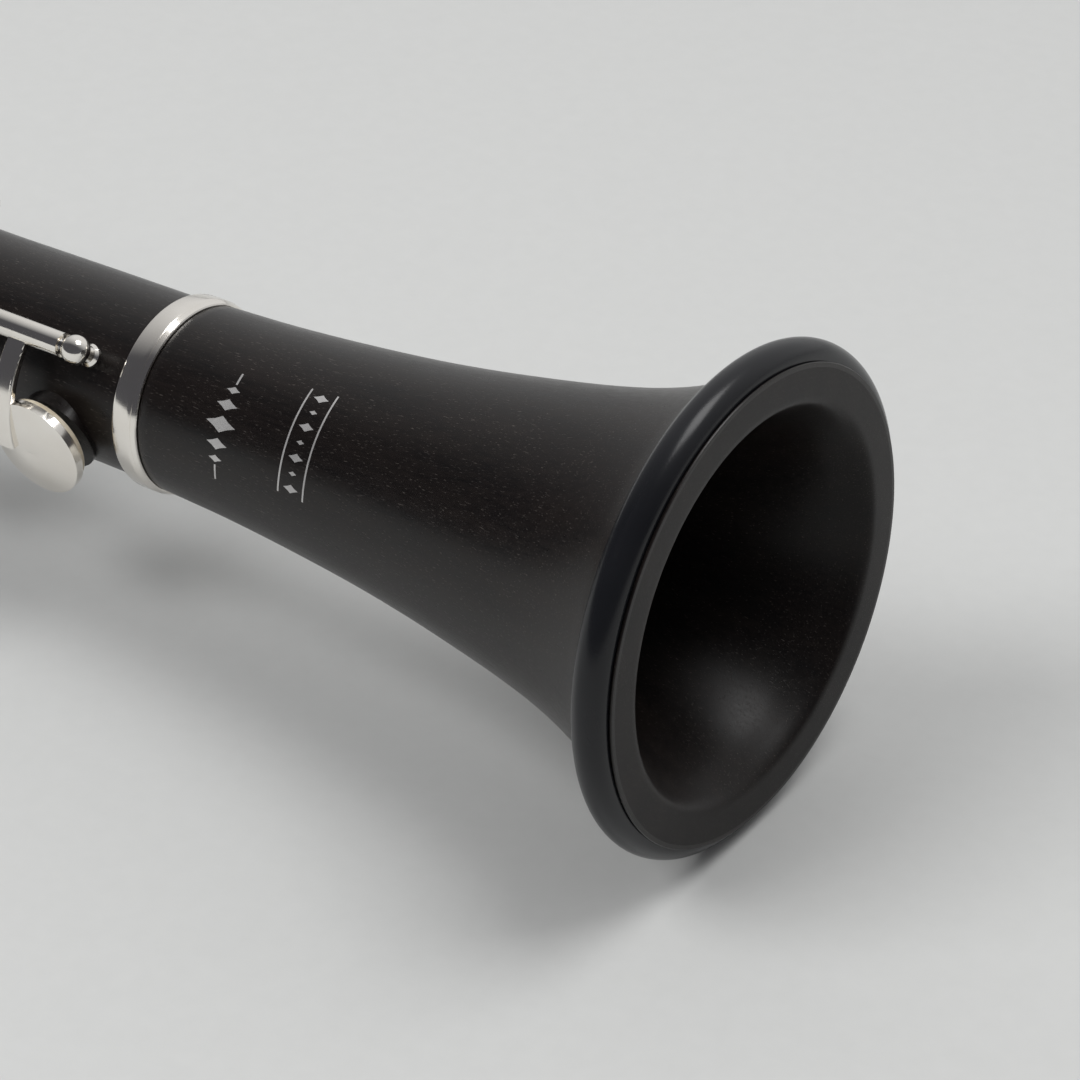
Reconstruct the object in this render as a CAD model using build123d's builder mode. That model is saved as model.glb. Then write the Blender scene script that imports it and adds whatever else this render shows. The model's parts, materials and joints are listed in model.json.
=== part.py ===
"""A B-flat clarinet lying on its side: wooden joints, bell, mouthpiece and sprung silver keywork.

Every piece is drawn along the bore. The bore is the X axis and the bell opens toward +X, so a
station s is a distance from the bell's rim toward the mouthpiece (x = -s). An angle is counted
round the bore from the front of the instrument (+Z) toward the player's left (+Y). At the end all
pieces are laid down together, resting on the rim of the bell and on the barrel.
"""
from build123d import *
import os
from math import atan2, asin, cos, degrees, hypot, radians, sin, tan

# ---------------------------------------------------------------- driving dimensions (mm, degrees)
RIM_R = 40.0                 # outside radius of the bell's rim ring
RIM_TUBE = 2.95              # radius of the round bead of the rim ring
RIM_S = 3.56                 # station of the bead's centre
BELL_TOP = 106.1             # where the wood of the bell ends
SOCKET_FACE = 110.9          # upper face of the bell's silver ring
LOWER_BOTTOM = 111.0         # shoulder of the lower joint
MIDDLE = 333.0               # lower joint meets upper joint
UPPER_TOP = 531.0            # upper joint meets barrel
BARREL_TOP = 596.0           # barrel meets mouthpiece
TIP = 670.0                  # tip of the mouthpiece
BORE_R = 7.4
BARREL_RING_R = 16.2
FIT = 0.05                   # clearance of corks in sockets and of tubes on rods

ROLL = 55.0                  # how far the front is turned from straight up, toward -Y
ROD_R = 1.0                  # steel hinge rods
TUBE_R = 2.0                 # silver hinge tubes
BALL_R = 2.4                 # heads of the posts
POST_GAP = 2.5               # from the middle of a post to the end of the tube beside it
LOWER_REACH = 19.5           # rods of the big lower keys, from the bore's axis
RING_REACH = 19.0            # rod of the lower ring key
UPPER_REACH = 18.5           # rods of the upper joint and of the left-hand levers
SIDE_REACH = 17.6            # rods of the four side keys
PAD_DEPTH = 2.6
SEAT_GAP = 0.06              # a closed pad rests this far above its seat
CUP_RISE = 3.9               # top of a pad cup above the seat
ARM = 1.6                    # thickness of arms
CHIMNEY_R = 5.6              # raised finger holes
CHIMNEY_RISE = 2.2

os.makedirs("parts", exist_ok=True)
BORE = Axis((0, 0, 0), (-1, 0, 0))
pieces = []


# ---------------------------------------------------------------- places round the bore
def outward(theta):
    return (0, sin(radians(theta)), cos(radians(theta)))


def sideways(theta):
    return (0, cos(radians(theta)), -sin(radians(theta)))


def spot(s, theta, reach):
    return (-s, reach * sin(radians(theta)), reach * cos(radians(theta)))


def tangent_plane(s, theta, reach):
    return Plane(origin=spot(s, theta, reach), x_dir=(1, 0, 0), z_dir=outward(theta))


def lengthwise_plane(s, theta, reach):
    """X runs toward the bell and Y points away from the bore."""
    return Plane(origin=spot(s, theta, reach), x_dir=(1, 0, 0), z_dir=[-n for n in sideways(theta)])


def lower_radius(s):
    if s < 130:
        return 15.15 - 0.15 * (s - 111.3) / 18.7
    return 15.0 - 0.25 * (s - 130) / 20 if s < 150 else 14.75 - 0.55 * (s - 150) / 175.8


def upper_radius(s):
    return 13.9 - 0.4 * (s - MIDDLE) / (UPPER_TOP - MIDDLE)


# ---------------------------------------------------------------- shapes used again and again
def turned(points):
    """Turn an outline of (station, radius) points about the bore."""
    with BuildSketch(Plane.XZ) as outline:
        with BuildLine():
            Polyline([(-s, r) for s, r in points], close=True)
        make_face()
    revolve(outline.sketch, axis=Axis.X)


def bored(points):
    with BuildSketch(Plane.XZ) as outline:
        with BuildLine():
            Polyline([(-s, r) for s, r in points] + [(-points[-1][0], 0), (-points[0][0], 0)], close=True)
        make_face()
    revolve(outline.sketch, axis=Axis.X, mode=Mode.SUBTRACT)


def rod(theta, reach, s_low, s_high, radius, mode=Mode.ADD):
    """A round bar parallel to the bore."""
    with BuildSketch(Plane(origin=spot(s_low, theta, reach), x_dir=(0, 1, 0), z_dir=(-1, 0, 0))) as outline:
        Circle(radius)
    extrude(outline.sketch, amount=s_high - s_low, mode=mode)


def bar(s_low, s_high, theta, reach, width, thick=ARM):
    """A flat strip that runs parallel to the bore."""
    with BuildSketch(tangent_plane((s_low + s_high) / 2, theta, reach - thick / 2)) as outline:
        RectangleRounded(s_high - s_low, width, width * 0.3)
    extrude(outline.sketch, amount=thick)


def arch(s, theta_a, theta_b, reach, width=3.0, thick=ARM):
    """A flat strip bent round the bore between two angles."""
    low = min(theta_a, theta_b)
    with BuildSketch(lengthwise_plane(0, low, 0)) as outline:
        with Locations((-s, reach)):
            RectangleRounded(width, thick, thick * 0.3)
    revolve(outline.sketch, axis=BORE, revolution_arc=abs(theta_b - theta_a))


def peg(s, theta, r_low, r_high, radius=1.1, mode=Mode.ADD):
    """A round pin that points away from the bore."""
    with BuildSketch(tangent_plane(s, theta, r_low)) as outline:
        Circle(radius)
    extrude(outline.sketch, amount=r_high - r_low, mode=mode)


def touch(s, theta, reach, length, width, thick=1.7):
    """A finger plate with rounded corners, a little smaller on top than below."""
    corner = min(length, width) * 0.4
    with BuildSketch(tangent_plane(s, theta, reach)) as below:
        RectangleRounded(length, width, corner)
    with BuildSketch(tangent_plane(s, theta, reach + thick)) as above:
        RectangleRounded(length - 0.8, width - 0.8, corner - 0.4)
    loft(sections=[below.sketch.face(), above.sketch.face()])


def cup(s, theta, seat, radius):
    """A domed pad cup, hollow below, where its pad is glued in."""
    lip = seat + 1.3
    ceiling = seat + SEAT_GAP + PAD_DEPTH + 0.02
    top = seat + CUP_RISE
    with BuildSketch(lengthwise_plane(s, theta, 0)) as outline:
        with BuildLine():
            Line((radius - 0.5, lip), (radius, lip))
            Line((radius, lip), (radius, ceiling + 0.1))
            ThreePointArc((radius, ceiling + 0.1), (radius * 0.62, top - 0.3), (0, top))
            Polyline((0, top), (0, ceiling), (radius - 0.5, ceiling), (radius - 0.5, lip))
        make_face()
    revolve(outline.sketch, axis=Axis(spot(s, theta, 0), outward(theta)))


def finger_ring(s, theta, top):
    """The ring round a raised finger hole, flush with its top when pressed."""
    with BuildSketch(tangent_plane(s, theta, top - 1.5)) as outline:
        Circle(CHIMNEY_R + 2.5)
        Circle(CHIMNEY_R + 0.6, mode=Mode.SUBTRACT)
    extrude(outline.sketch, amount=1.5)


def post(s, theta, reach, foot):
    """A turned post: shank in the wood, foot on it, stem and round head."""
    neck = (BALL_R ** 2 - 1.2 ** 2) ** 0.5
    with BuildSketch(lengthwise_plane(s, theta, 0)) as outline:
        with BuildLine():
            Polyline((0, foot - 3), (1.2, foot - 3), (1.2, foot + 0.02), (1.9, foot + 0.02),
                     (1.9, foot + 0.7), (1.5, foot + 1.3), (1.2, reach - neck))
            ThreePointArc((1.2, reach - neck), (BALL_R, reach), (0, reach + BALL_R))
            Line((0, reach + BALL_R), (0, foot - 3))
        make_face()
    revolve(outline.sketch, axis=Axis(spot(s, theta, 0), outward(theta)))


def save(part, label, hinge=None, swing=0):
    """Keep a finished piece. A key that stands open is swung there about its own hinge."""
    if swing:
        part = part.rotate(hinge, swing)
    part.label = label
    pieces.append(part)


def hinge_line(theta, reach):
    return Axis(spot(0, theta, reach), (1, 0, 0))


# ---------------------------------------------------------------- the keywork's plan
# Each hinge: angle of its rod, reach of its rod, stations of the two ends of its tube.
LOWER_HINGES = {
    "e": (6, LOWER_REACH, 120.5, 197.5),
    "f": (-10, LOWER_REACH, 145.5, 179.5),
    "f_sharp": (70, LOWER_REACH, 192, 312),
    "a_flat": (-12, LOWER_REACH, 214, 228),
    "banana": (-32, RING_REACH, 249, 259),
    "lower_ring": (50, RING_REACH, 236, 320.5),
    "e_lever": (87, UPPER_REACH, 180, 312),
    "f_lever": (104, UPPER_REACH, 166, 312),
}
UPPER_HINGES = {
    "second_ring": (50, UPPER_REACH, 346, 446.5),
    "first_ring": (50, UPPER_REACH, 451.5, 477.5),
    "thumb_ring": (112, UPPER_REACH, 452, 474),
    "c_sharp": (76, UPPER_REACH, 362, 394),
    "sliver": (-24, UPPER_REACH, 418, 426),
}
SIDE_TOUCH_S = [357, 369, 381, 393]      # middles of the side keys' finger plates
SIDE_PAD_S = [396, 446, 476, 506]        # their pads
for number, (touch_s, pad_s) in enumerate(zip(SIDE_TOUCH_S, SIDE_PAD_S)):
    UPPER_HINGES[f"side_{number + 1}"] = (-60 - 16 * number, SIDE_REACH, touch_s - 5, pad_s + 4)

# Levers that rock across the bore: angle, station of the pivot, station of the pad.
ROCKERS = {"throat_a": (-12, 505, 517), "throat_g_sharp": (22, 500, 511), "register": (180, 503, 518)}
ROCKER_REACH = 17.6
ROCKER_HALF = 2.6            # half length of a rocker's cross tube

# Padded holes: joint, station, angle, height of the seat, radius of the cup.
LOWER_PADS = {
    "e": (124, -52, 15.6, 8.5),
    "f": (157, -53, 15.5, 8.0),
    "f_sharp": (198, 40, 15.4, 7.0),
    "a_flat": (221, 30, 15.3, 6.5),
    "banana": (254, -56, 15.0, 4.6),
    "lower_ring": (306, 20, 14.9, 5.0),
}
UPPER_PADS = {
    "second_ring": (422, 22, 14.5, 4.8),
    "first_ring": (474, 22, 14.5, 4.6),
    "c_sharp": (388, 107, 14.5, 4.8),
    "sliver": (422, -50, 14.5, 4.3),
    "throat_a": (517, -12, 14.4, 4.6),
    "throat_g_sharp": (511, 22, 14.4, 4.2),
    "register": (518, 180, 14.6, 4.2),
}
for number, pad_s in enumerate(SIDE_PAD_S):
    UPPER_PADS[f"side_{number + 1}"] = (pad_s, -30 - 16 * number, 14.2, 4.4)

LOWER_FINGER_HOLES = [241, 267, 293]
UPPER_FINGER_HOLES = [409, 438, 462]
THUMB_HOLE_S = 460
OPEN_SWING = {"e": -8, "f": -8, "f_sharp": -7, "lower_ring": -6, "second_ring": -6, "first_ring": -6}


# ---------------------------------------------------------------- bell
def bell_outside():
    """The outer line of the bell from its top to the groove behind the rim ring."""
    Polyline((-BELL_TOP, 12.25), (-BELL_TOP, 15.52))
    Spline((-BELL_TOP, 15.52), (-77.3, 17.32), (-46.4, 21.4), (-20.6, 27.48), (-6.3, 35.3),
           tangents=[(1, 0.03), (0.72, 1)])
    Polyline((-6.3, 35.3), (-6.3, 35.95), (-0.58, 35.95), (-0.58, 37.3), (-0.1, 37.36), (0, 37.2))


with BuildPart() as bell:
    with BuildSketch(Plane.XZ):
        with BuildLine():
            bell_outside()
            Line((0, 37.2), (0, 31.6))
            ThreePointArc((0, 31.6), (-0.45, 30.9), (-1.5, 30.1))
            Spline((-1.5, 30.1), (-12.4, 24.6), (-30.9, 18.9), (-61.8, 14.2), (-88.5, 11.5),
                   tangents=[(-0.72, -0.62), (-1, -0.07)])
            Polyline((-88.5, 11.5), (-89.5, 11.5), (-89.5, 12.25), (-BELL_TOP, 12.25))
        make_face()
    revolve(axis=Axis.X)
save(bell.part, "bell")

with BuildPart() as bell_rim_ring:
    with BuildSketch(Plane.XZ):
        with Locations((-RIM_S, RIM_R - RIM_TUBE)):
            Circle(RIM_TUBE)
        with Locations((-RIM_S, 35.97 - RIM_TUBE)):
            Rectangle(4 * RIM_TUBE, 2 * RIM_TUBE, mode=Mode.SUBTRACT)
    revolve(axis=Axis.X)
save(bell_rim_ring.part, "bell_rim_ring")

with BuildPart() as bell_socket_ring:
    turned([(BELL_TOP + 0.02, 12.3), (BELL_TOP + 0.02, 15.75), (BELL_TOP + 0.9, 16.24),
            (SOCKET_FACE - 0.25, 16.24), (SOCKET_FACE, 16.0), (SOCKET_FACE, 12.3)])
save(bell_socket_ring.part, "bell_socket_ring")


# ---------------------------------------------------------------- the two joints
def seats(pads, ring_holes, foot_radius):
    """Raised flat seats under the pads and chimneys round the finger holes."""
    for s, theta, seat, cup_radius in pads.values():
        peg(s, theta, foot_radius(s) - 3, seat, cup_radius - 1.3)
    for s in ring_holes:
        peg(s, 0, foot_radius(s) - 3, foot_radius(s) + CHIMNEY_RISE, CHIMNEY_R)


def holes(pads, ring_holes):
    """Tone holes, each drilled from its seat into the bore."""
    for s, theta, seat, cup_radius in pads.values():
        peg(s, theta, 3, seat + 1, (cup_radius - 1.3) * 0.66, Mode.SUBTRACT)
    for s in ring_holes:
        peg(s, 0, 3, 30, 4.1, Mode.SUBTRACT)


def post_places(hinges):
    places = set()
    for theta, reach, low, high in hinges.values():
        places.update([(low - POST_GAP, theta, reach), (high + POST_GAP, theta, reach)])
    return sorted(places)


def rocker_posts():
    places = []
    for theta, pivot, pad_s in ROCKERS.values():
        for side in (-1, 1):
            across = side * (ROCKER_HALF + 2.2)
            places.append((pivot, theta + degrees(atan2(across, ROCKER_REACH)), hypot(across, ROCKER_REACH)))
    return places


THUMB_REST_FOOT = lower_radius(287) + 0.03
THUMB_REST_SCREWS = [288, 294.5]
lower_post_list = post_places(LOWER_HINGES)
upper_post_list = post_places(UPPER_HINGES)

with BuildPart() as lower_joint:
    turned([(90, 10.6), (90, 11.2), (110.95, 11.2), (110.95, 12.0), (LOWER_BOTTOM, 12.0),
            (LOWER_BOTTOM, 14.9), (111.3, 15.15), (130, 15.0), (150, 14.75), (325.8, 14.2),
            (325.8, 13.0), (MIDDLE - 0.02, 13.0), (MIDDLE - 0.02, 10.0), (300, 8), (200, 8)])
    seats(LOWER_PADS, LOWER_FINGER_HOLES, lower_radius)
    bored([(89, 11.0), (150, 8.6), (200, BORE_R), (310.8, BORE_R)])
    bored([(310.8, 11.0), (MIDDLE + 1, 11.0)])
    holes(LOWER_PADS, LOWER_FINGER_HOLES)
    for place_s, place_theta, place_reach in lower_post_list:
        peg(place_s, place_theta, lower_radius(place_s) - 3.2, 30, 1.25, Mode.SUBTRACT)
    for screw_s in THUMB_REST_SCREWS:
        peg(screw_s, 180, THUMB_REST_FOOT - 4.2, THUMB_REST_FOOT, 1.1, Mode.SUBTRACT)
save(lower_joint.part, "lower_joint")

with BuildPart() as lower_joint_ring:
    turned([(325.85, 13.02), (325.85, 15.2), (326.6, 15.7), (332.4, 15.7), (MIDDLE - 0.02, 15.2),
            (MIDDLE - 0.02, 13.02)])
save(lower_joint_ring.part, "lower_joint_ring")

with BuildPart() as lower_joint_cork:
    turned([(92, 11.22), (92, 12.0), (92.6, 12.2), (108.4, 12.2), (109, 12.0), (109, 11.22)])
save(lower_joint_cork.part, "lower_joint_cork")

with BuildPart() as upper_joint:
    turned([(311.2, 8), (311.2, 10.0), (MIDDLE, 10.0), (MIDDLE, 13.6), (333.4, 13.9),
            (525.6, 13.52), (525.6, 13.0), (UPPER_TOP, 13.0), (UPPER_TOP, 9.9), (546.8, 9.9), (546.8, 8)])
    seats(UPPER_PADS, UPPER_FINGER_HOLES, upper_radius)
    bored([(300, BORE_R), (560, BORE_R)])
    holes(UPPER_PADS, UPPER_FINGER_HOLES)
    peg(THUMB_HOLE_S, 180, 3, 30, CHIMNEY_R + 0.02, Mode.SUBTRACT)
    for place_s, place_theta, place_reach in upper_post_list + rocker_posts():
        peg(place_s, place_theta, upper_radius(place_s) - 3.2, 30, 1.25, Mode.SUBTRACT)
save(upper_joint.part, "upper_joint")

with BuildPart() as upper_joint_fittings:
    turned([(525.62, 13.02), (525.62, 14.0), (526.2, 14.5), (530.4, 14.5), (UPPER_TOP - 0.02, 14.0),
            (UPPER_TOP - 0.02, 13.02)])
    with BuildSketch(tangent_plane(THUMB_HOLE_S, 180, 8.0)):
        Circle(CHIMNEY_R)
        Circle(4.2, mode=Mode.SUBTRACT)
    extrude(amount=8.0)
save(upper_joint_fittings.part, "upper_joint_fittings")

with BuildPart() as upper_joint_corks:
    turned([(312.5, 10.02), (312.5, 10.8), (313, 10.95), (331, 10.95), (331.5, 10.8), (331.5, 10.02)])
    turned([(532.5, 9.92), (532.5, 10.7), (533, 10.9), (545, 10.9), (545.5, 10.7), (545.5, 9.92)])
save(upper_joint_corks.part, "upper_joint_corks")


# ---------------------------------------------------------------- posts, rods, screws and springs
def rods_and_springs(hinges, foot_radius):
    """Steel rods through the tubes, and a needle spring at one post of every hinge."""
    for theta, reach, low, high in hinges.values():
        rod(theta, reach, low - POST_GAP - 1.9, high + POST_GAP + 1.9, ROD_R)
        spring_s = low - POST_GAP
        spring_reach = foot_radius(spring_s) + 1.1
        rod(theta, spring_reach, spring_s - 0.9, min(spring_s + 16, high), 0.3)


with BuildPart() as lower_posts:
    for place_s, place_theta, place_reach in lower_post_list:
        post(place_s, place_theta, place_reach, lower_radius(place_s))
save(lower_posts.part, "lower_posts")

with BuildPart() as upper_posts:
    for place_s, place_theta, place_reach in upper_post_list + rocker_posts():
        post(place_s, place_theta, place_reach, upper_radius(place_s))
save(upper_posts.part, "upper_posts")

with BuildPart() as lower_rods_and_springs:
    rods_and_springs(LOWER_HINGES, lower_radius)
save(lower_rods_and_springs.part, "lower_rods_and_springs")

with BuildPart() as upper_rods_and_springs:
    rods_and_springs(UPPER_HINGES, upper_radius)
    for rocker_theta, rocker_pivot, rocker_pad in ROCKERS.values():
        rod_plane = Plane(origin=spot(rocker_pivot, rocker_theta, ROCKER_REACH), x_dir=(1, 0, 0),
                          z_dir=sideways(rocker_theta))
        with BuildSketch(rod_plane):
            Circle(ROD_R)
        extrude(amount=ROCKER_HALF + 4.0, both=True)
save(upper_rods_and_springs.part, "upper_rods_and_springs")


# ---------------------------------------------------------------- thumb rest on the back
with BuildPart() as thumb_rest:
    with BuildSketch(lengthwise_plane(0, 180, 0)) as hook_profile:
        with BuildLine():
            Polyline((-299, THUMB_REST_FOOT), (-299, THUMB_REST_FOOT + 0.6), (-297, THUMB_REST_FOOT + 1.3),
                     (-283.5, THUMB_REST_FOOT + 1.3))
            ThreePointArc((-283.5, THUMB_REST_FOOT + 1.3), (-280.6, 19.5), (-280.5, 28))
            ThreePointArc((-280.5, 28), (-279.6, 28.9), (-278.7, 28))
            ThreePointArc((-278.7, 28), (-278.6, 19), (-276.5, THUMB_REST_FOOT))
            Line((-276.5, THUMB_REST_FOOT), (-299, THUMB_REST_FOOT))
        make_face()
    extrude(amount=6.5, both=True)
    for screw_s in THUMB_REST_SCREWS:
        peg(screw_s, 180, 10, 20, 1.1, Mode.SUBTRACT)

with BuildPart() as thumb_rest_screws:
    for screw_s in THUMB_REST_SCREWS:
        peg(screw_s, 180, THUMB_REST_FOOT - 4, THUMB_REST_FOOT + 1.35, 1.05)
        peg(screw_s, 180, THUMB_REST_FOOT + 1.33, THUMB_REST_FOOT + 2.1, 1.9)
save(thumb_rest.part, "thumb_rest")
save(thumb_rest_screws.part, "thumb_rest_screws")


# ---------------------------------------------------------------- barrel, mouthpiece, reed, ligature
with BuildPart() as barrel:
    turned([(UPPER_TOP + 0.02, 10.95), (UPPER_TOP + 0.02, 13.45), (536.4, 13.45), (536.4, 15.3),
            (545, 15.0), (563, 14.7), (582, 15.0), (590.6, 15.4), (590.6, 13.45), (BARREL_TOP, 13.45),
            (BARREL_TOP, 10.95), (580, 10.95), (580, BORE_R), (547.5, BORE_R), (547.5, 10.95)])
save(barrel.part, "barrel")

with BuildPart() as barrel_rings:
    for ring_low, ring_high in ((UPPER_TOP + 0.02, 536.35), (590.65, BARREL_TOP)):
        turned([(ring_low, 13.48), (ring_low, BARREL_RING_R - 0.5), (ring_low + 0.5, BARREL_RING_R),
                (ring_high - 0.5, BARREL_RING_R), (ring_high, BARREL_RING_R - 0.5), (ring_high, 13.48)])
save(barrel_rings.part, "barrel_rings")

TABLE = 10.8                 # the flat table that the reed lies on, below the bore's axis
BEAK_S = 634.0               # where the beak's slope begins
REED_R = 13.8                # the reed's bark follows this radius

with BuildPart() as mouthpiece:
    turned([(580.5, 0), (580.5, 9.9), (BARREL_TOP + 0.05, 9.9), (BARREL_TOP + 0.05, 13.2), (597.2, 13.7),
            (640, 13.2), (TIP, 12.4), (TIP, 0)])
    bored([(580, BORE_R), (622, BORE_R)])
    with BuildSketch(Plane.XZ) as table_cut:
        with Locations((-(TIP + 599) / 2, -TABLE - 5)):
            Rectangle(TIP - 599, 10)
    extrude(amount=20, both=True, mode=Mode.SUBTRACT)
    with BuildSketch(Plane.XZ) as beak_cut:
        with BuildLine():
            Polyline((-BEAK_S, 14), (-TIP - 1, 1.2 - TABLE), (-TIP - 1, 14), close=True)
        make_face()
    extrude(amount=20, both=True, mode=Mode.SUBTRACT)
    with BuildSketch(Plane.XZ) as chamber_cut:
        with BuildLine():
            Polyline((-619, -6), (-619, 6), (-640, 5.5), (-667, -9.0), (-667, -TABLE - 1),
                     (-631, -TABLE - 1), (-631, -6), close=True)
        make_face()
    extrude(amount=5, both=True, mode=Mode.SUBTRACT)
save(mouthpiece.part, "mouthpiece")

with BuildPart() as mouthpiece_cork:
    turned([(582, 9.92), (582, 10.7), (582.5, 10.9), (593.5, 10.9), (594, 10.7), (594, 9.92)])
save(mouthpiece_cork.part, "mouthpiece_cork")

with BuildPart() as reed:
    turned([(600, 0), (600, REED_R), (TIP - 0.4, REED_R), (TIP - 0.4, 0)])
    with BuildSketch(Plane.YZ.offset(-TIP - 5)) as reed_width:
        with Locations((0, -TABLE - 5.02)):
            Rectangle(13, 10)
    extrude(amount=TIP, mode=Mode.INTERSECT)
    with BuildSketch(Plane.XZ) as vamp_cut:
        with BuildLine():
            Line((-636, -REED_R - 0.1), (-TIP - 1, -TABLE - 0.25))
            Polyline((-TIP - 1, -TABLE - 0.25), (-TIP - 1, -20), (-636, -20), (-636, -REED_R - 0.1))
        make_face()
    extrude(amount=10, both=True, mode=Mode.SUBTRACT)
save(reed.part, "reed")

LIGATURE_SCREWS = {"ligature_screw_lower": 612.0, "ligature_screw_upper": 626.0}
LIGATURE_SCREW_Z = -17.0

with BuildPart() as ligature:
    turned([(606, 13.95), (606, 14.5), (632, 14.5), (632, 13.95)])
    for screw_s in LIGATURE_SCREWS.values():
        with BuildSketch(Plane.XZ) as ear_outline:
            with Locations((-screw_s, LIGATURE_SCREW_Z + 1.0)):
                RectangleRounded(8, 5.2, 1.5)
        extrude(amount=2.6, both=True)
    with BuildSketch(Plane.XZ) as ligature_gap:
        with Locations((-619, -16.5)):
            Rectangle(40, 8)
    extrude(amount=1.3, both=True, mode=Mode.SUBTRACT)
    bored([(600, 13.95), (640, 13.95)])
    for screw_s in LIGATURE_SCREWS.values():
        with BuildSketch(Plane.XZ) as screw_hole:
            with Locations((-screw_s, LIGATURE_SCREW_Z)):
                Circle(1.06)
        extrude(amount=8, both=True, mode=Mode.SUBTRACT)
save(ligature.part, "ligature")

for label, screw_s in LIGATURE_SCREWS.items():
    with BuildPart() as ligature_screw:
        with BuildSketch(Plane.XZ.offset(3.4)) as shank:
            with Locations((-screw_s, LIGATURE_SCREW_Z)):
                Circle(1.0)
        extrude(amount=-6.8)
        with BuildSketch(Plane.XZ.offset(-2.75)) as head:
            with Locations((-screw_s, LIGATURE_SCREW_Z)):
                Circle(2.2)
                with PolarLocations(2.35, 12):
                    Circle(0.3, mode=Mode.SUBTRACT)
        extrude(amount=-2.2)
    save(ligature_screw.part, label)


# ---------------------------------------------------------------- keys
def hinge_tube(hinge):
    theta, reach, low, high = hinge
    rod(theta, reach, low, high, TUBE_R)


def ream(hinge, *pad_places):
    """Clear the tube's bore, and each cup's pocket, through everything that was joined to them."""
    for s, pad_theta, seat, radius in pad_places:
        peg(s, pad_theta, seat - 1.5, seat + SEAT_GAP + PAD_DEPTH + 0.02, radius - 0.5, Mode.SUBTRACT)
    theta, reach, low, high = hinge
    rod(theta, reach, low - 2, high + 2, ROD_R + FIT, Mode.SUBTRACT)


def cup_with_arm(hinge, pad_place, width=3.0):
    s, theta, seat, radius = pad_place
    cup(s, theta, seat, radius)
    arch(s, hinge[0], theta, seat + CUP_RISE - 0.2, width)


def save_key(part, name, hinge):
    save(part, f"{name}_key", hinge_line(hinge[0], hinge[1]), OPEN_SWING.get(name, 0))


def save_pad(name, pad_place, hinge=None):
    s, theta, seat, radius = pad_place
    with BuildPart() as pad:
        with BuildSketch(tangent_plane(s, theta, seat + SEAT_GAP)) as pad_face:
            Circle(radius - 0.55)
        extrude(amount=PAD_DEPTH)
        fillet(pad.edges().filter_by(GeomType.CIRCLE), 0.35)
    line = hinge_line(hinge[0], hinge[1]) if hinge else None
    save(pad.part, f"{name}_pad", line, OPEN_SWING.get(name, 0))


e_hinge = LOWER_HINGES["e"]
with BuildPart() as e_key:
    hinge_tube(e_hinge)
    cup(*LOWER_PADS["e"])
    arch(129, 6, -52, 19.5, 3.7)
    arch(194, 6, -36, 20.9)
    touch(197, -36, 21.5, 13, 9)
    arch(183, 6, 36, 20.9, 3.0, 1.2)
    ream(e_hinge, LOWER_PADS["e"])
save_key(e_key.part, "e", e_hinge)

f_hinge = LOWER_HINGES["f"]
with BuildPart() as f_key:
    hinge_tube(f_hinge)
    cup_with_arm(f_hinge, LOWER_PADS["f"], 3.7)
    arch(177, -10, -64, 20.9)
    bar(175.5, 192, -64, 20.9, 3.4)
    touch(195, -64, 21.5, 12, 9)
    peg(170, -10, 20.5, 23.2, 1.4)
    arch(170, -12, 36, 23.3, 3.0, 1.2)
    ream(f_hinge, LOWER_PADS["f"])
save_key(f_key.part, "f", f_hinge)

f_sharp_hinge = LOWER_HINGES["f_sharp"]
with BuildPart() as f_sharp_key:
    hinge_tube(f_sharp_hinge)
    cup(*LOWER_PADS["f_sharp"])
    arch(198.5, 70, 36, 19.0, 3.6)
    arch(207, 70, -36, 20.4)
    touch(208.7, -36, 21.0, 8, 9)
    arch(308.7, 65.5, 74.5, 21.8, 4.6, 2.8)
    bar(305, 332, 70, 23.0, 3.2)
    arch(330, 72.5, 56, 23.3, 8, 1.9)
    ream(f_sharp_hinge, LOWER_PADS["f_sharp"])
save_key(f_sharp_key.part, "f_sharp", f_sharp_hinge)

a_flat_hinge = LOWER_HINGES["a_flat"]
with BuildPart() as a_flat_key:
    hinge_tube(a_flat_hinge)
    cup_with_arm(a_flat_hinge, LOWER_PADS["a_flat"], 3.4)
    arch(217, -12, -64, 20.4)
    bar(207, 218.5, -64, 20.4, 3.4)
    touch(209.5, -64, 21.0, 9, 9)
    ream(a_flat_hinge, LOWER_PADS["a_flat"])
save_key(a_flat_key.part, "a_flat", a_flat_hinge)

banana_hinge = LOWER_HINGES["banana"]
with BuildPart() as banana_key:
    hinge_tube(banana_hinge)
    cup_with_arm(banana_hinge, LOWER_PADS["banana"], 2.6)
    arch(254, -32, -14, 19.9, 2.6)
    touch(254, -9, 19.8, 7.4, 11)
    ream(banana_hinge, LOWER_PADS["banana"])
save_key(banana_key.part, "banana", banana_hinge)

lower_ring_hinge = LOWER_HINGES["lower_ring"]
with BuildPart() as lower_ring_key:
    hinge_tube(lower_ring_hinge)
    cup_with_arm(lower_ring_hinge, LOWER_PADS["lower_ring"])
    for hole_s in LOWER_FINGER_HOLES:
        finger_ring(hole_s, 0, lower_radius(hole_s) + CHIMNEY_RISE)
        arch(hole_s, 50, 24, 17.9)
    arch(318.5, 50, 34, 20.2, 3.0, 1.2)
    bar(317, 331, 35, 20.2, 3.0, 1.2)
    ream(lower_ring_hinge, LOWER_PADS["lower_ring"])
save_key(lower_ring_key.part, "lower_ring", lower_ring_hinge)

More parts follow.
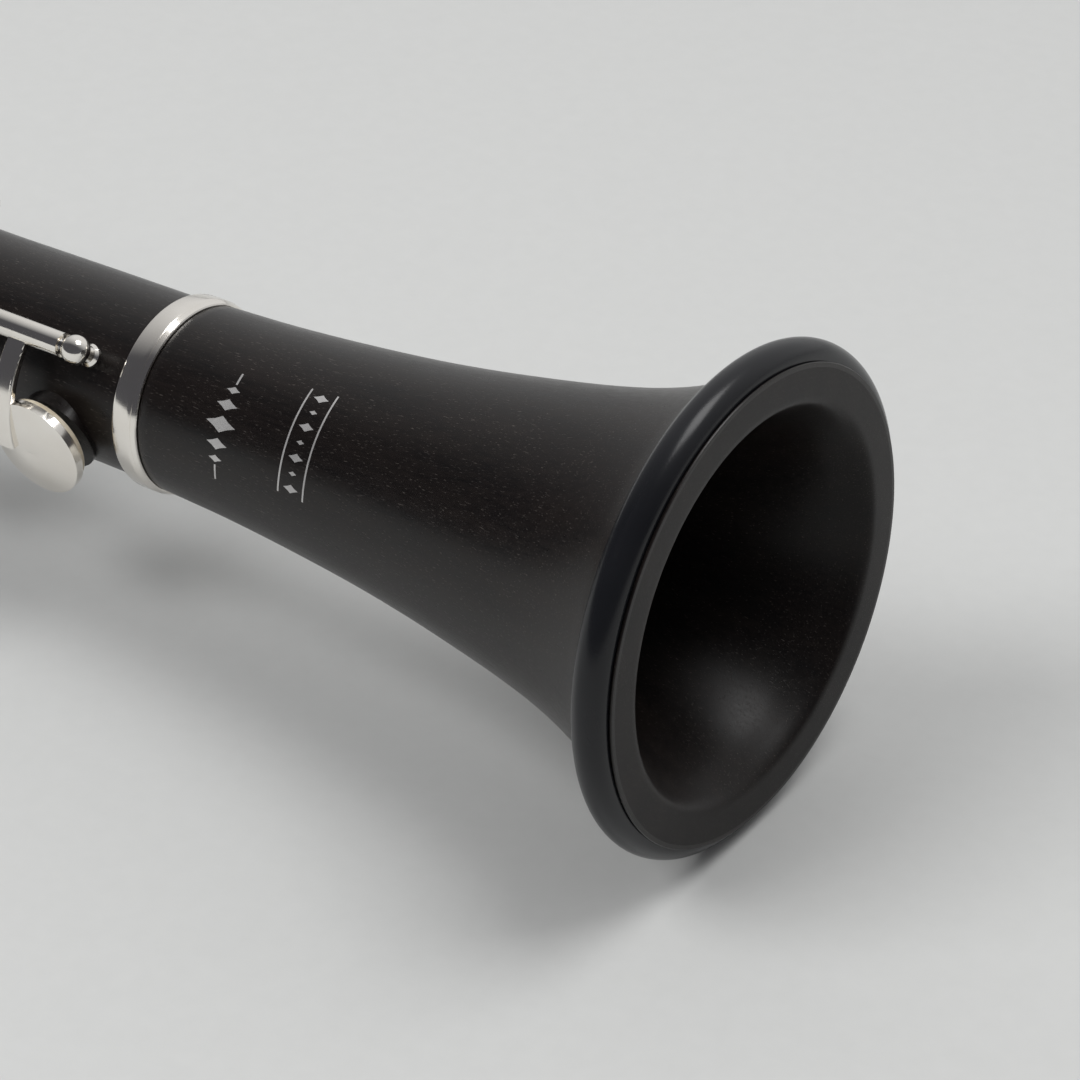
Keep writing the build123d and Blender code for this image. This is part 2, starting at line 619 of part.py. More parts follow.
# The two levers for the left little finger lift a tab of the E and F keys from below.
LEVERS = {
    # name: tab's station, lug's end angle, top of the lug's pin, plate's station, swing at rest
    "e_lever": (183, 32, 19.85, 342, 4.6),
    "f_lever": (170, 32, 22.25, 330, 5.7),
}
for label, (tab_s, lug_theta, pin_top, plate_s, rest_swing) in LEVERS.items():
    lever_hinge = LOWER_HINGES[label]
    lever_theta = lever_hinge[0]
    with BuildPart() as lever:
        hinge_tube(lever_hinge)
        arch(tab_s, lever_theta, lug_theta, 17.6, 3.0, 1.2)
        peg(tab_s, lug_theta + 1.5, 17.2, pin_top)
        arch(308.5, lever_theta - 4, lever_theta + 4, 20.9, 5, 2.6)
        bar(306, plate_s + 2, lever_theta, 22.0, 3.0)
        arch(plate_s, lever_theta, lever_theta + 23, 22.6, 8, 1.7)
        ream(lever_hinge)
    save(lever.part, label, hinge_line(lever_theta, lever_hinge[1]), rest_swing)

second_ring_hinge = UPPER_HINGES["second_ring"]
with BuildPart() as second_ring_key:
    hinge_tube(second_ring_hinge)
    cup_with_arm(second_ring_hinge, UPPER_PADS["second_ring"], 2.8)
    finger_ring(438, 0, upper_radius(438) + CHIMNEY_RISE)
    arch(438, 50, 24, 17.3)
    arch(348, 50, 34, 21.0, 3.0, 2.6)
    bar(327, 349.5, 35, 22.4, 3.0, 1.2)
    ream(second_ring_hinge, UPPER_PADS["second_ring"])
save_key(second_ring_key.part, "second_ring", second_ring_hinge)

first_ring_hinge = UPPER_HINGES["first_ring"]
with BuildPart() as first_ring_key:
    hinge_tube(first_ring_hinge)
    cup_with_arm(first_ring_hinge, UPPER_PADS["first_ring"], 2.8)
    finger_ring(462, 0, upper_radius(462) + CHIMNEY_RISE)
    arch(462, 50, 24, 17.3)
    arch(468, 50, 80, 20.0, 3.0, 1.2)
    ream(first_ring_hinge, UPPER_PADS["first_ring"])
save_key(first_ring_key.part, "first_ring", first_ring_hinge)

THUMB_SWING = 4.5
thumb_hinge = UPPER_HINGES["thumb_ring"]
with BuildPart() as thumb_ring_key:
    hinge_tube(thumb_hinge)
    finger_ring(THUMB_HOLE_S, 180, 16.0)
    arch(THUMB_HOLE_S, 112, 156, 17.3)
    arch(468, 112, 74, 17.2, 3.0, 1.2)
    peg(468, 76, 17.0, 19.0, 1.0)
    ream(thumb_hinge)
save(thumb_ring_key.part, "thumb_ring_key", hinge_line(thumb_hinge[0], thumb_hinge[1]), THUMB_SWING)

c_sharp_hinge = UPPER_HINGES["c_sharp"]
with BuildPart() as c_sharp_key:
    hinge_tube(c_sharp_hinge)
    cup_with_arm(c_sharp_hinge, UPPER_PADS["c_sharp"], 2.8)
    arch(366, 80, 71, 21.0, 4, 2.6)
    arch(364, 76, 44, 22.6, 10, 1.7)
    ream(c_sharp_hinge, UPPER_PADS["c_sharp"])
save_key(c_sharp_key.part, "c_sharp", c_sharp_hinge)

sliver_hinge = UPPER_HINGES["sliver"]
with BuildPart() as sliver_key:
    hinge_tube(sliver_hinge)
    cup_with_arm(sliver_hinge, UPPER_PADS["sliver"], 2.6)
    arch(422, -24, 2, 20.0, 6.0, 1.5)
    ream(sliver_hinge, UPPER_PADS["sliver"])
save_key(sliver_key.part, "sliver", sliver_hinge)

# The instrument rests on the rim ring, the top ring of the barrel and the last side key's plate.
fall = RIM_R - RIM_TUBE - BARREL_RING_R
length_to_barrel = BARREL_TOP - RIM_S
TILT = degrees(atan2(fall, length_to_barrel) + asin(RIM_TUBE / hypot(fall, length_to_barrel)))
PLATE = 1.7
last_plate_end = SIDE_TOUCH_S[3] + 4.6
SIDE_TOUCH_REACH = BARREL_RING_R + (BARREL_TOP - last_plate_end) * tan(radians(TILT)) - PLATE - 0.02

for number, (touch_s, pad_s) in enumerate(zip(SIDE_TOUCH_S, SIDE_PAD_S)):
    side_name = f"side_{number + 1}"
    side_hinge = UPPER_HINGES[side_name]
    side_theta = side_hinge[0]
    with BuildPart() as side_key:
        hinge_tube(side_hinge)
        cup_with_arm(side_hinge, UPPER_PADS[side_name], 2.8)
        arch(touch_s, side_theta + 4, side_theta - 5, 20.9, 6, 3.8)
        arch(touch_s, side_theta, side_theta - 12, SIDE_TOUCH_REACH + 0.3, 6, 1.6)
        touch(touch_s, side_theta - 17, SIDE_TOUCH_REACH, 10, 9, PLATE)
        ream(side_hinge, UPPER_PADS[side_name])
    save_key(side_key.part, side_name, side_hinge)

ROCKER_TOUCH = {"throat_a": (487, 12, 7), "throat_g_sharp": (487, 12, 7), "register": (479, 13, 8)}
for name, (rocker_theta, rocker_pivot, rocker_pad) in ROCKERS.items():
    touch_s, plate_length, plate_width = ROCKER_TOUCH[name]
    across = Plane(origin=spot(rocker_pivot, rocker_theta, ROCKER_REACH), x_dir=(1, 0, 0),
                   z_dir=sideways(rocker_theta))
    with BuildPart() as rocker:
        with BuildSketch(across) as cross_tube:
            Circle(1.8)
        extrude(amount=ROCKER_HALF, both=True)
        cup(*UPPER_PADS[name])
        bar(touch_s - 2, rocker_pad + 1.5, rocker_theta, 19.1, 3.2)
        touch(touch_s, rocker_theta, 19.5, plate_length, plate_width)
        with BuildSketch(across) as cross_bore:
            Circle(ROD_R + FIT)
        extrude(amount=ROCKER_HALF + 2, both=True, mode=Mode.SUBTRACT)
    save(rocker.part, f"{name}_key")

for name, pad_place in (LOWER_PADS | UPPER_PADS).items():
    save_pad(name, pad_place, (LOWER_HINGES | UPPER_HINGES).get(name))


# ---------------------------------------------------------------- laid down and written out
laid = Rot(0, -TILT, 0) * Rot(ROLL, 0, 0)
boxes = [piece.moved(laid).bounding_box() for piece in pieces]
middle_x = (min(box.min.X for box in boxes) + max(box.max.X for box in boxes)) / 2
middle_y = (min(box.min.Y for box in boxes) + max(box.max.Y for box in boxes)) / 2
floor_z = min(box.min.Z for box in boxes)
resting = Pos(-middle_x, -middle_y, -floor_z) * laid

for piece in pieces:
    resting_piece = piece.moved(resting)
    resting_piece.label = piece.label
    export_step(resting_piece, f"parts/{piece.label}.step")
print(len(pieces), "pieces written, tilt", round(TILT, 3), "degrees")
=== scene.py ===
# %% [markdown]
# # A clarinet on a pale table
# The wooden tube, its silver keys and its cork joints come from the CAD model as a fixed frame.
# Here the bell, which fills the view, is turned again on a much finer lathe, and every surface
# gets a material of its own. All lengths below are in metres unless a name says otherwise.

# %% load the frame
import json
import math
import bpy
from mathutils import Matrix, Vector


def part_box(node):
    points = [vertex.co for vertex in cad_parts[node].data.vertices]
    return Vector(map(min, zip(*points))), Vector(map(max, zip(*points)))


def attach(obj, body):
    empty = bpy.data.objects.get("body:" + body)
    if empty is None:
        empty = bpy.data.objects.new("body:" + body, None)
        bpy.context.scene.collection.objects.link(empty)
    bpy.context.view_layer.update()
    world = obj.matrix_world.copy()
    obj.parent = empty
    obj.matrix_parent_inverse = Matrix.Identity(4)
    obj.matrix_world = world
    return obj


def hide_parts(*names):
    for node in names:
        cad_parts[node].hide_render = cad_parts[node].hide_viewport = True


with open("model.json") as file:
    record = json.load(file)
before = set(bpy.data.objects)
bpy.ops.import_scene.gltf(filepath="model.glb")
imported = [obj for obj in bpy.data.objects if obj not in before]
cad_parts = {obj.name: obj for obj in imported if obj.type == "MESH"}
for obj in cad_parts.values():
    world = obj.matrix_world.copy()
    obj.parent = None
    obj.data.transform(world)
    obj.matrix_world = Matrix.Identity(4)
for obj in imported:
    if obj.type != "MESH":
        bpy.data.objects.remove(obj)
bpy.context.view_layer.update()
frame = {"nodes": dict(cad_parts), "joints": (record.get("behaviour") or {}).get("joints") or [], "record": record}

nodes = frame["nodes"]

# %% [markdown]
# ## The bore as a ruler
# A clarinet is turned about its bore, so places on it are told by a station (how far from the rim
# of the bell, up the bore) and a radius. The bell pulls straight off its tenon, so the direction of
# that joint is the direction of the bore, and the middle of the rim ring lies on it.

# %% the bore
MM = 0.001
RIM_RING_S = 3.56 * MM       # station of the rim ring's middle

tenon = [joint for joint in frame["joints"] if joint["name"] == "bell_tenon"][0]
BORE = Vector(tenon["axis"]).normalized()                 # points out of the bell's mouth
ACROSS = Vector((0, -1, 0))                               # level, square to the bore
UPWARD = ACROSS.cross(BORE).normalized()
if UPWARD.z < 0:
    UPWARD = -UPWARD
ring_low, ring_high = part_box("bell_rim_ring")
MOUTH = (ring_low + ring_high) / 2 + BORE * RIM_RING_S    # middle of the mouth, in the plane of its face
TILT = math.atan2(BORE.z, BORE.x)
print("mouth at", [round(v, 4) for v in MOUTH], "bore rises", round(math.degrees(TILT), 2), "degrees")


def on_bore(s, radius, turn):
    """A point at a station and radius; the turn is counted from level, on the -Y side, upward."""
    return MOUTH - BORE * s + (ACROSS * math.cos(turn) + UPWARD * math.sin(turn)) * radius


# %% [markdown]
# ## Camera
# The view looks down into the mouth of the bell from its right, with a long lens, so that the
# bell fills the frame and the keys begin at its left edge.

# %% camera
LENS = 131.3
AZIMUTH, ELEVATION = math.radians(35.97), math.radians(35.08)
BACK, RIGHT, UP = 0.5731, 0.0319, 0.00996

look = Vector((-math.sin(AZIMUTH) * math.cos(ELEVATION),
               math.cos(AZIMUTH) * math.cos(ELEVATION), -math.sin(ELEVATION)))
camera_right = look.cross(Vector((0, 0, 1))).normalized()
camera_up = camera_right.cross(look)
camera = bpy.data.objects.new("camera", bpy.data.cameras.new("camera"))
bpy.context.scene.collection.objects.link(camera)
camera.data.lens = LENS
camera.data.sensor_width = 36
camera.data.clip_start = 0.01
camera.location = MOUTH - look * BACK - camera_right * RIGHT + camera_up * UP
camera.rotation_euler = look.to_track_quat("-Z", "Y").to_euler()
bpy.context.scene.camera = camera
print("camera at", [round(v, 3) for v in camera.location])

# %% [markdown]
# ## Helpers for materials
# Every finish is a Principled shader whose colour, roughness and bump come from noise measured in
# the object's own coordinates, so the pattern has a real size and moves with the piece.

# %% material helpers
def new_finish(name, **settings):
    """A Principled material; the settings are constant values for its own sockets."""
    finish = bpy.data.materials.new(name)
    finish.use_nodes = True
    shader = finish.node_tree.nodes["Principled BSDF"]
    for socket, value in settings.items():
        shader.inputs[socket.replace("_", " ")].default_value = value
    return finish


def add(finish, kind, **inputs):
    node = finish.node_tree.nodes.new("ShaderNode" + kind)
    for socket, value in inputs.items():
        node.inputs[socket.replace("_", " ")].default_value = value
    return node


def link(finish, source, target):
    finish.node_tree.links.new(source, target)


def along_the_bore(finish, lengthwise, crosswise):
    """Coordinates turned to the bore and stretched: cells per metre along it and across it."""
    place = add(finish, "TexCoord")
    turned = add(finish, "Mapping", Rotation=(0, TILT, 0))
    stretched = add(finish, "Mapping", Scale=(lengthwise, crosswise, crosswise))
    link(finish, place.outputs["Object"], turned.inputs["Vector"])
    link(finish, turned.outputs["Vector"], stretched.inputs["Vector"])
    return stretched.outputs["Vector"]


def noise(finish, vector, scale=1.0, detail=4.0, roughness=0.55):
    texture = add(finish, "TexNoise", Scale=scale, Detail=detail, Roughness=roughness)
    link(finish, vector, texture.inputs["Vector"])
    return texture.outputs["Fac"]


def ramp(finish, value, *stops):
    """Colours or greys spread over a value: each stop is (position, colour or grey)."""
    node = add(finish, "ValToRGB")
    while len(node.color_ramp.elements) < len(stops):
        node.color_ramp.elements.new(0.5)
    for element, (position, colour) in zip(node.color_ramp.elements, stops):
        element.position = position
        element.color = (*colour, 1) if isinstance(colour, tuple) else (colour, colour, colour, 1)
    link(finish, value, node.inputs["Fac"])
    return node.outputs["Color"]


def mixed(finish, factor, first, second):
    node = finish.node_tree.nodes.new("ShaderNodeMix")
    node.data_type = "RGBA"
    link(finish, factor, node.inputs[0])
    link(finish, first, node.inputs[6])
    link(finish, second, node.inputs[7])
    return node.outputs[2]


def wire(finish, colour=None, roughness=None, height=None, depth=0.00002):
    shader = finish.node_tree.nodes["Principled BSDF"]
    if colour is not None:
        link(finish, colour, shader.inputs["Base Color"])
    if roughness is not None:
        link(finish, roughness, shader.inputs["Roughness"])
    if height is not None:
        bump = add(finish, "Bump", Strength=0.5, Distance=depth)
        link(finish, height, bump.inputs["Height"])
        link(finish, bump.outputs["Normal"], shader.inputs["Normal"])


# %% [markdown]
# ## Grenadilla
# Grenadilla, or African blackwood, is nearly black, with a brown cast where light goes into it and
# fine open pores that run the length of the tube. Noise stretched along the bore gives both: a slow
# one for the brown clouds, a fine one for the pores. The light that the pores catch is painted into
# the colour as tiny pale glints, and the same fine noise gives the pores their bump.
# The oiled surface is satin, so the roughness changes a little with the grain.

# %% grenadilla
def make_grenadilla(name, dark, brown, polish, shine):
    wood = new_finish(name, Specular_IOR_Level=shine)
    clouds = noise(wood, along_the_bore(wood, 30, 170), detail=3)
    streaks = noise(wood, along_the_bore(wood, 110, 1500), detail=5, roughness=0.6)
    # fine noise for the pores: their bump, and the places of their painted glints
    pores_and_glints = noise(wood, along_the_bore(wood, 850, 5200), detail=2, roughness=0.5)
    body = mixed(wood, ramp(wood, streaks, (0.35, 0.0), (0.75, 1.0)),
                 ramp(wood, clouds, (0.3, dark), (0.75, brown)),
                 ramp(wood, clouds, (0.3, brown), (0.8, tuple(1.5 * c for c in brown))))
    # painted glints: a pale colour, mixed in at the pores, that stands for the light they catch
    pale = ramp(wood, clouds, (0.3, (0.035, 0.03, 0.028)), (0.8, (0.1, 0.085, 0.075)))
    colour = mixed(wood, ramp(wood, pores_and_glints, (0.64, 0.0), (0.72, 0.8)), body, pale)
    gloss = ramp(wood, streaks, (0.3, polish), (0.8, polish + 0.1))
    wire(wood, colour, gloss, ramp(wood, pores_and_glints, (0.6, 1.0), (0.76, 0.0)), depth=0.00003)
    return wood


DARK, BROWN = (0.0038, 0.0032, 0.0034), (0.0095, 0.007, 0.0062)
grenadilla = make_grenadilla("grenadilla", DARK, BROWN, 0.27, 0.36)
bare_grenadilla = make_grenadilla("bare_grenadilla", DARK, BROWN, 0.31, 0.2)   # the mouth and the bore
print("made", grenadilla.name, bare_grenadilla.name)

# %% [markdown]
# ## Rim plastic and ebonite
# The rim ring is a bead of hard black plastic with a cool, even satin. The mouthpiece is ebonite,
# a hard rubber that is polished nearly to a mirror and picks up faint wiping marks.

# %% black plastics
def make_black(name, colour, lighter, gloss, grain_per_metre, shine):
    plastic = new_finish(name, Specular_IOR_Level=shine)
    spread = noise(plastic, along_the_bore(plastic, grain_per_metre, grain_per_metre), detail=5)
    slow = noise(plastic, along_the_bore(plastic, 60, 60), detail=2)
    wire(plastic, ramp(plastic, slow, (0.3, colour), (0.75, lighter)),
         ramp(plastic, slow, (0.3, gloss), (0.75, gloss + 0.07)), spread, depth=0.000006)
    return plastic


rim_plastic = make_black("rim_plastic", (0.008, 0.0085, 0.0105), (0.012, 0.0125, 0.015), 0.2, 2500, 0.34)
ebonite = make_black("ebonite", (0.006, 0.006, 0.0065), (0.01, 0.0095, 0.009), 0.12, 900, 0.5)
print("made", rim_plastic.name, ebonite.name)

# %% [markdown]
# ## Metals
# The keys are cast nickel silver with a plating of silver: bright, a little warm, with fine
# polishing marks and soft clouds where fingers have dulled it. The rods and springs are bare steel.

# %% metals
def make_metal(name, bright, dull, gloss, marks_per_metre):
    metal = new_finish(name, Metallic=1.0)
    clouds = noise(metal, along_the_bore(metal, 90, 90), detail=3)
    marks = noise(metal, along_the_bore(metal, marks_per_metre / 12, marks_per_metre), detail=4)
    wire(metal, ramp(metal, clouds, (0.3, bright), (0.75, dull)),
         ramp(metal, clouds, (0.3, gloss), (0.75, gloss + 0.09)), marks, depth=0.000004)
    return metal


silver = make_metal("silver_plate", (0.93, 0.9, 0.85), (0.84, 0.8, 0.74), 0.1, 3000)
steel = make_metal("steel", (0.5, 0.51, 0.54), (0.36, 0.37, 0.4), 0.22, 5000)
print("made", silver.name, steel.name)

# %% [markdown]
# ## Cork, pad skin and cane
# The tenons are wrapped in sheet cork, which is speckled with dark grains. Pads are felt under a
# thin skin, cream coloured and slightly wrinkled. The reed is raw cane: straw yellow, with long
# straight fibres that run from heel to tip.

# %% soft and raw finishes
def make_cork():
    cork = new_finish("cork", Specular_IOR_Level=0.3)
    grains = noise(cork, along_the_bore(cork, 900, 900), detail=6, roughness=0.7)
    colour = ramp(cork, grains, (0.38, (0.1, 0.045, 0.02)), (0.5, (0.42, 0.25, 0.12)),
                  (0.7, (0.58, 0.4, 0.22)))
    wire(cork, colour, ramp(cork, grains, (0.3, 0.6), (0.8, 0.85)), grains, depth=0.0001)
    return cork


def make_pad_skin():
    skin = new_finish("pad_skin", Specular_IOR_Level=0.4, Sheen_Weight=0.15)
    wrinkles = noise(skin, along_the_bore(skin, 500, 500), detail=6, roughness=0.65)
    wire(skin, ramp(skin, wrinkles, (0.3, (0.62, 0.52, 0.36)), (0.7, (0.85, 0.77, 0.62))),
         ramp(skin, wrinkles, (0.3, 0.4), (0.8, 0.6)), wrinkles, depth=0.00006)
    return skin


def make_cane():
    cane = new_finish("cane", Specular_IOR_Level=0.4, Subsurface_Weight=0.05)
    fibres = noise(cane, along_the_bore(cane, 40, 4500), detail=4)
    wire(cane, ramp(cane, fibres, (0.3, (0.5, 0.33, 0.12)), (0.7, (0.8, 0.63, 0.34))),
         ramp(cane, fibres, (0.3, 0.45), (0.8, 0.62)), fibres, depth=0.00004)
    return cane


cork, pad_skin, cane = make_cork(), make_pad_skin(), make_cane()
print("made", cork.name, pad_skin.name, cane.name)

# %% [markdown]
# ## Dressing the CAD pieces
# The frame's record names a material slot for every node, so one table from slot to finish dresses
# them all. Smooth shading is kept off the sharp edges, so turned and filed faces stay crisp.

# %% dress the frame
FINISHES = {"grenadilla": grenadilla, "ebonite": ebonite, "rim_plastic": rim_plastic, "cane": cane,
            "cork": cork, "pad_skin": pad_skin, "steel": steel, "silver": silver}
CRISP_EDGE = math.radians(32)

for part in frame["record"]["subparts"]:
    mesh = nodes[part["node"]].data
    mesh.materials.clear()
    mesh.materials.append(FINISHES[part["material_slot"]])
    mesh.shade_smooth()
    mesh.set_sharp_from_angle(angle=CRISP_EDGE)

# %% [markdown]
# ## A lathe
# The bell is turned: a section is swept once round the bore. Building it from its section keeps
# every circle exact, and 288 steps round keep the rim smooth even where it is largest.

# %% the lathe
STEPS_ROUND = 288


def lathe(name, section, finish, body, node, crisp=CRISP_EDGE):
    """Turn a closed section of (station, radius) points in millimetres about the bore."""
    count = len(section)
    points = [on_bore(s * MM, r * MM, 2 * math.pi * step / STEPS_ROUND)
              for step in range(STEPS_ROUND) for s, r in section]
    faces = []
    for step in range(STEPS_ROUND):
        here, there = step * count, (step + 1) % STEPS_ROUND * count
        for i in range(count):
            after = (i + 1) % count
            faces.append((here + i, here + after, there + after, there + i))
    mesh = bpy.data.meshes.new(name)
    mesh.from_pydata(points, [], faces)
    mesh.materials.append(finish)
    mesh.shade_smooth()
    mesh.set_sharp_from_angle(angle=crisp)
    piece = bpy.data.objects.new(name, mesh)
    bpy.context.scene.collection.objects.link(piece)
    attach(piece, body)
    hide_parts(node)
    print("turned", name, "with", len(faces), "faces")
    return piece


def fair_curve(knots, steps):
    """A smooth line through (station, radius) knots, with steps points in each span."""
    line = []
    for i in range(len(knots) - 1):
        before = knots[max(i - 1, 0)]
        (s0, r0), (s1, r1) = knots[i], knots[i + 1]
        after = knots[min(i + 2, len(knots) - 1)]
        span = s1 - s0
        slope_0 = (r1 - before[1]) / (s1 - before[0]) * span
        slope_1 = (after[1] - r0) / (after[0] - s0) * span
        for step in range(steps):
            t = step / steps
            line.append((s0 + span * t,
                         (2 * t**3 - 3 * t**2 + 1) * r0 + (t**3 - 2 * t**2 + t) * slope_0
                         + (3 * t**2 - 2 * t**3) * r1 + (t**3 - t**2) * slope_1))
    return line + [knots[-1]]


# %% [markdown]
# ## The bell
# Outside, the wood swells slowly from its silver socket ring and then flares fast to the rim.
# Inside, the bore follows it. Between them lie the flat face of the mouth, its softened inner edge,
# and a thin lip of wood that holds the rim ring from the front.

# %% bell
BELL_OUTSIDE = [(105.7, 15.52), (92.7, 16.11), (77.3, 17.32), (61.8, 19.0), (46.4, 21.4), (30.9, 24.47),
                (20.6, 27.48), (12.4, 31.13), (6.35, 35.05)]
BELL_INSIDE = [(1.5, 30.1), (6, 27.3), (12.4, 24.5), (20.6, 21.6), (30.9, 18.9), (46.4, 16.1), (61.8, 14.2),
               (77, 12.5), (88.5, 11.5)]
LIP = [(6.3, 35.9), (0.72, 35.95), (0.6, 37.05), (0.45, 37.27), (0.2, 37.36), (0.03, 37.27), (0.0, 37.05)]
FACE = [(0.0, 36.6), (0.02, 34.6), (0.04, 32.4), (0.06, 31.9)]
INNER_EDGE = [(0.15, 31.45), (0.33, 31.1), (0.62, 30.8), (1.0, 30.48)]
SOCKET = [(89.5, 11.5), (89.5, 12.26), (106.08, 12.26), (106.08, 15.3)]

bell_front = fair_curve(BELL_OUTSIDE, 8) + LIP
bell_section = bell_front + FACE + INNER_EDGE + fair_curve(BELL_INSIDE, 6) + SOCKET
bell = lathe("bell_turned", bell_section, grenadilla, "bell", "bell")
bell.data.materials.append(bare_grenadilla)
for polygon in bell.data.polygons:
    if len(bell_front) <= polygon.index % len(bell_section) < len(bell_section) - len(SOCKET):
        polygon.material_index = 1

# %% [markdown]
# ## The rim ring and the socket ring
# The rim ring is a round bead, flat where it sits on the wood. The socket ring stops the socket
# from splitting: a wide polished band with a narrow bevel on the bell's side and a rolled edge on
# the joint's side.

# %% rings
RIM_BEAD, RIM_OUTSIDE, RIM_SEAT = 2.95, 40.0, 35.98
BEAD_POINTS = 40
rim_middle = RIM_OUTSIDE - RIM_BEAD
seat_angle = math.acos((RIM_SEAT - rim_middle) / RIM_BEAD)
bead = []
for step in range(BEAD_POINTS + 1):
    angle = -seat_angle + 2 * seat_angle * step / BEAD_POINTS
    bead.append((RIM_RING_S / MM + RIM_BEAD * math.sin(angle), rim_middle + RIM_BEAD * math.cos(angle)))
rim_ring = lathe("rim_ring_turned", bead, rim_plastic, "bell", "bell_rim_ring")

SOCKET_RING = [(106.14, 12.32), (106.14, 15.6), (106.25, 15.82), (106.95, 16.12), (107.1, 16.05),
               (107.25, 16.12), (107.45, 16.22), (107.8, 16.24), (110.3, 16.24), (110.65, 16.15),
               (110.82, 15.9), (110.88, 15.6), (110.88, 12.32)]
BEVEL_EDGE = math.radians(24)               # lower than CRISP_EDGE, so that the bevels stay crisp
socket_ring = lathe("socket_ring_turned", SOCKET_RING, silver, "bell", "bell_socket_ring", BEVEL_EDGE)

# %% [markdown]
# ## Printed ornament
# Makers print a mark in silver round the bell. In its place there are two rows of plain lozenges
# and short bars. They are thin shapes bent to the wood, because a printed mark follows the surface.

# %% ornament
print_silver = make_metal("printed_silver", (0.62, 0.61, 0.6), (0.36, 0.35, 0.35), 0.38, 2200)
print_silver.node_tree.nodes["Principled BSDF"].inputs["Metallic"].default_value = 0.4
PRINT_HEIGHT, PRINT_ROOT = 0.04, 0.06       # above and below the surface, in millimetres
BAR_LENGTH = 2.0                            # longest straight length of a bar, in degrees
WAIST = 0.45                                # below 0.5, so a lozenge's sides bend in
UPPER_ROW, LOWER_ROW = 89.5, 73.5           # stations of the two rows
outside_line = fair_curve(BELL_OUTSIDE, 8)


def bell_radius(s):
    """Radius of the bell's outside at a station, in millimetres."""
    for (s0, r0), (s1, r1) in zip(outside_line, outside_line[1:]):
        if s1 <= s <= s0:
            return r0 + (r1 - r0) * (s - s0) / (s1 - s0)
    return outside_line[0][1]


def printed_shape(points, faces, outline):
    """Add one thin prism whose outline is (station in mm, turn in degrees) points."""
    start, count = len(points), len(outline)
    for lift in (PRINT_HEIGHT, -PRINT_ROOT):
        for s, turn in outline:
            points.append(on_bore(s * MM, (bell_radius(s) + lift) * MM, math.radians(turn)))
    faces.append(tuple(range(start, start + count)))
    faces.append(tuple(reversed(range(start + count, start + 2 * count))))
    for i in range(count):
        after = (i + 1) % count
        faces.append((start + i, start + count + i, start + count + after, start + after))


def lozenge(s, turn, tall, wide):
    """A lozenge whose sides bend in a little; tall is in millimetres and wide in degrees."""
    return [(s - tall, turn), (s - tall * WAIST, turn + wide * WAIST),
            (s, turn + wide), (s + tall * WAIST, turn + wide * WAIST),
            (s + tall, turn), (s + tall * WAIST, turn - wide * WAIST),
            (s, turn - wide), (s - tall * WAIST, turn - wide * WAIST)]


def bent_bar(s, turn_low, turn_high, half):
    """A bar round the bell, cut into short lengths so that each one lies on the wood."""
    lengths = math.ceil((turn_high - turn_low) / BAR_LENGTH)
    for i in range(lengths):
        low = turn_low + (turn_high - turn_low) * i / lengths
        high = turn_low + (turn_high - turn_low) * (i + 1) / lengths
        corners = [(s - half, low), (s - half, high), (s + half, high), (s + half, low)]
        printed_shape(print_points, print_faces, corners)


print_points, print_faces = [], []
for turn, size in ((31, 1.0), (20, 0.7), (42, 0.7), (11.5, 0.45), (50.5, 0.45)):
    printed_shape(print_points, print_faces, lozenge(UPPER_ROW, turn, 3.0 * size, 4.6 * size))
for turn_low, turn_high in ((-1, 8), (54, 61)):
    bent_bar(UPPER_ROW, turn_low, turn_high, 0.18)
for number in range(7):
    tall = 1.5 if number % 2 == 0 else 0.8
    printed_shape(print_points, print_faces, lozenge(LOWER_ROW, 13 + 8 * number, tall, tall * 1.5))
for s in (70.9, 76.1):
    bent_bar(s, 9, 65, 0.16)

ornament_mesh = bpy.data.meshes.new("bell_ornament")
ornament_mesh.from_pydata(print_points, [], print_faces)
ornament_mesh.materials.append(print_silver)
ornament = bpy.data.objects.new("bell_ornament", ornament_mesh)
bpy.context.scene.collection.objects.link(ornament)
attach(ornament, "bell")
print("printed", len(print_faces), "faces of ornament")

# %% [markdown]
# ## Table and light
# The table is a plain pale grey sheet with hardly any texture. Two soft lights cast the two soft
# shadows: one stands high behind the mouth, one to the front and left. Black gloss shows whatever is
# round it, so the sky is bright behind and above and dark in front. That leaves the middle of the
# bell nearly black between a dim light band above and the table's own reflection below.

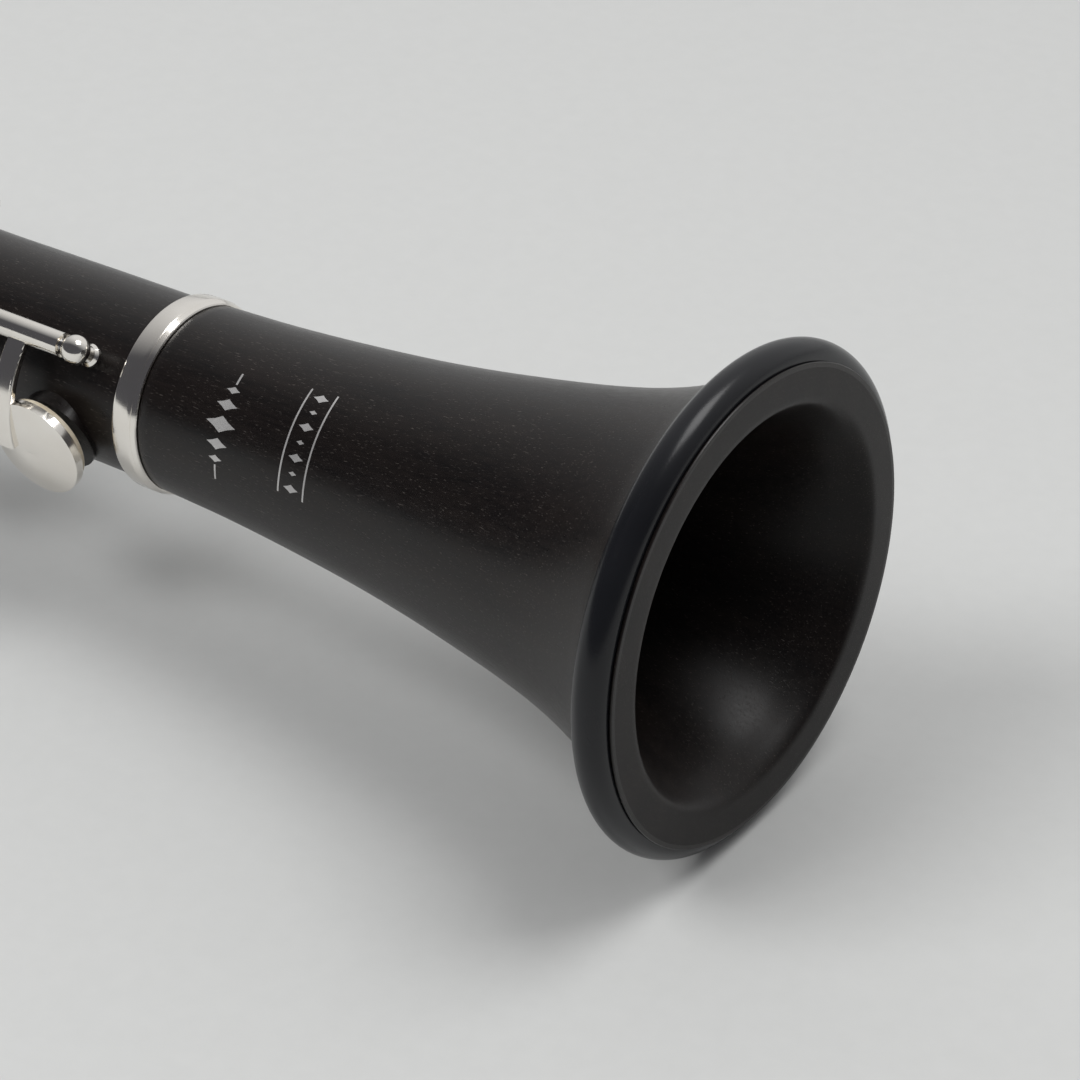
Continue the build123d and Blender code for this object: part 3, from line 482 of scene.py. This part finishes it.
# %% table
floor_finish = new_finish("pale_table", Specular_IOR_Level=0.2)
floor_grain = noise(floor_finish, along_the_bore(floor_finish, 300, 300), detail=6)
wire(floor_finish, ramp(floor_finish, floor_grain, (0.3, (0.625, 0.63, 0.62)), (0.7, (0.64, 0.645, 0.635))),
     ramp(floor_finish, floor_grain, (0.3, 0.75), (0.8, 0.85)), floor_grain, depth=0.000003)
floor_mesh = bpy.data.meshes.new("table_top")
HALF_TABLE = 4.0
table_corners = [(-HALF_TABLE, -HALF_TABLE, 0), (HALF_TABLE, -HALF_TABLE, 0),
                 (HALF_TABLE, HALF_TABLE, 0), (-HALF_TABLE, HALF_TABLE, 0)]
floor_mesh.from_pydata(table_corners, [], [(0, 1, 2, 3)])
floor_mesh.materials.append(floor_finish)
floor = bpy.data.objects.new("table_top", floor_mesh)
bpy.context.scene.collection.objects.link(floor)

# %% lights
def soft_light(name, offset, size, watts):
    """A square soft light aimed at the mouth of the bell."""
    lamp = bpy.data.lights.new(name, "AREA")
    lamp.size = size
    lamp.energy = watts
    light = bpy.data.objects.new(name, lamp)
    light.location = MOUTH + Vector(offset)
    light.rotation_euler = (-Vector(offset)).to_track_quat("-Z", "Y").to_euler()
    bpy.context.scene.collection.objects.link(light)
    return light


soft_light("high_behind", (0.42, 0.46, 1.7), 0.9, 12.5)
front_left = soft_light("front_left", (-0.60, -0.85, 1.2), 0.8, 13.0)
front_left.visible_glossy = False           # it fills the shadows without a streak on the wood

# %% sky
BRIGHT_SIDE = Vector((-0.1, 0.84, 0.53))
sky = bpy.data.worlds.new("sky")
sky.use_nodes = True
sky_nodes = sky.node_tree.nodes
direction = sky_nodes.new("ShaderNodeTexCoord")
facing = sky_nodes.new("ShaderNodeVectorMath")
facing.operation = "DOT_PRODUCT"
facing.inputs[1].default_value = BRIGHT_SIDE
glow = sky_nodes.new("ShaderNodeValToRGB")
glow.color_ramp.elements[0].position = 0.1
glow.color_ramp.elements[0].color = (0.07, 0.07, 0.078, 1)
glow.color_ramp.elements[1].position = 0.85
glow.color_ramp.elements[1].color = (0.7, 0.7, 0.7, 1)
sky.node_tree.links.new(direction.outputs["Generated"], facing.inputs[0])
sky.node_tree.links.new(facing.outputs["Value"], glow.inputs["Fac"])
sky.node_tree.links.new(glow.outputs["Color"], sky_nodes["Background"].inputs["Color"])
bpy.context.scene.world = sky
bpy.context.scene.view_settings.view_transform = "Standard"
print("lights and sky set")
